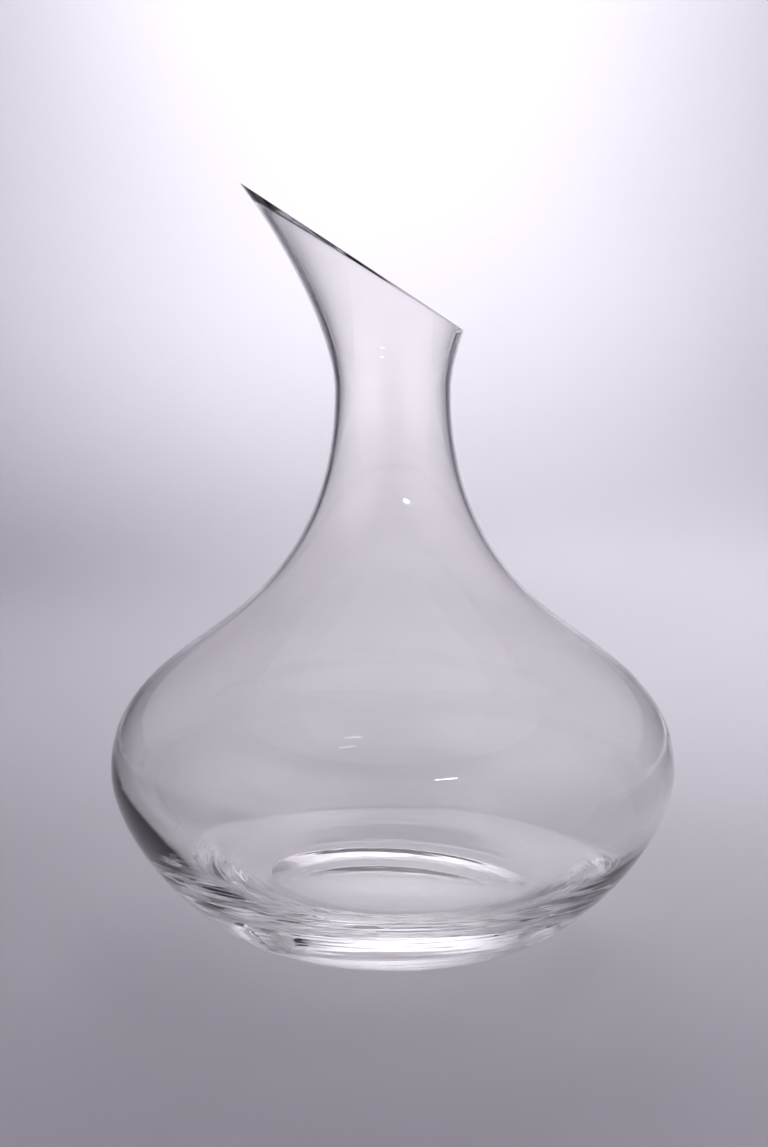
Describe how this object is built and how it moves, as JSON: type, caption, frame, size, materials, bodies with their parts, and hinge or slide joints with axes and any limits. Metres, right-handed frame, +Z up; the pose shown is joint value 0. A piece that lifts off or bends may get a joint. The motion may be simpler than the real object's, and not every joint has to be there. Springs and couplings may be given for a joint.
{
  "type": "wine decanter",
  "caption": "Clear blown-glass wine decanter with a wide low bowl, a slender neck and a flared mouth cut at a slant to a pouring tip.",
  "frame": {"origin": "under the middle of the foot, on the surface that the decanter stands on", "axes": "+Z up along the axis of the bowl and neck, -X towards the pouring tip, XZ is the mirror plane"},
  "size_m": [0.182, 0.182, 0.24],
  "materials": {
    "clear_glass": "polished"
  },
  "bodies": {
    "root": {"glass_body": "clear_glass"}
  },
  "joints": []
}
